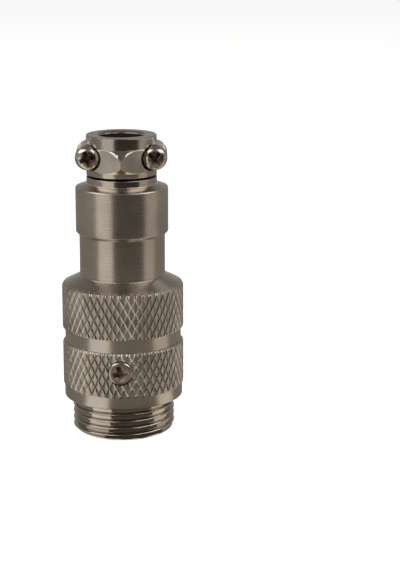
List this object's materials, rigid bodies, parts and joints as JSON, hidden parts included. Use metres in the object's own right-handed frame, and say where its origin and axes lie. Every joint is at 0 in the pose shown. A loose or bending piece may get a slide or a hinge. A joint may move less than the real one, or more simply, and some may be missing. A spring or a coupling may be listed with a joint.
{
  "type": "in-line aviation connector",
  "caption": "In-line round connector half: male coupling thread, diamond-knurled shell, stepped tail and a screwed cable clamp that swivels.",
  "frame": {"origin": "centre of the mouth's end, on the connector's axis", "axes": "+Z along the axis from the mouth towards the cable, -Y towards the locking screw and the clamp screws' heads"},
  "size_m": [0.019, 0.0192, 0.047],
  "materials": {
    "shell_nickel": "satin nickel plating, brushed around the axis on the plain bands, knurl ridges worn bright",
    "thread_nickel": "bright nickel plating",
    "clamp_nickel": "nickel plating, bright collars and matt cast flats",
    "screw_nickel": "bright nickel plating",
    "spring_steel": "plain spring steel",
    "contact_silver": "silver plating on brass",
    "phenolic": "black moulded phenolic, fine grain"
  },
  "bodies": {
    "shell": {"knurled_shell": "shell_nickel", "threaded_barrel": "thread_nickel", "insulator": "phenolic", "retaining_ring": "spring_steel", "locking_screw": "screw_nickel", "contact_pin_1": "contact_silver", "contact_pin_2": "contact_silver", "contact_pin_3": "contact_silver", "contact_pin_4": "contact_silver", "contact_pin_5": "contact_silver", "contact_pin_6": "contact_silver", "contact_pin_7": "contact_silver", "contact_pin_8": "contact_silver"},
    "clamp_rear": {"clamp_rear_half": "clamp_nickel"},
    "clamp_front": {"clamp_front_half": "clamp_nickel"},
    "screw_left": {"clamp_screw_left": "screw_nickel"},
    "screw_right": {"clamp_screw_right": "screw_nickel"}
  },
  "joints": [
    {"name": "clamp_swivel", "type": "hinge", "parent": "shell", "child": "clamp_rear", "pos_m": [0, 0, 0.0415], "axis": [0, 0, 1], "continuous": true},
    {"name": "clamp_open", "type": "slide", "parent": "clamp_rear", "child": "clamp_front", "axis": [0.0297, -0.9996, 0], "range_m": [0, 0.0012]},
    {"name": "screw_left_turn", "type": "hinge", "parent": "clamp_front", "child": "screw_left", "pos_m": [-0.0051, -0.00015, 0.04378], "axis": [0.0297, -0.9996, 0], "range_deg": [0, 1080]},
    {"name": "screw_right_turn", "type": "hinge", "parent": "clamp_front", "child": "screw_right", "pos_m": [0.0051, 0.00015, 0.04378], "axis": [0.0297, -0.9996, 0], "range_deg": [0, 1080]}
  ],
  "couplings": [
    {"joint": "screw_left_turn", "follows": "clamp_open", "rad_per_m": 15708},
    {"joint": "screw_right_turn", "follows": "clamp_open", "rad_per_m": 15708}
  ]
}
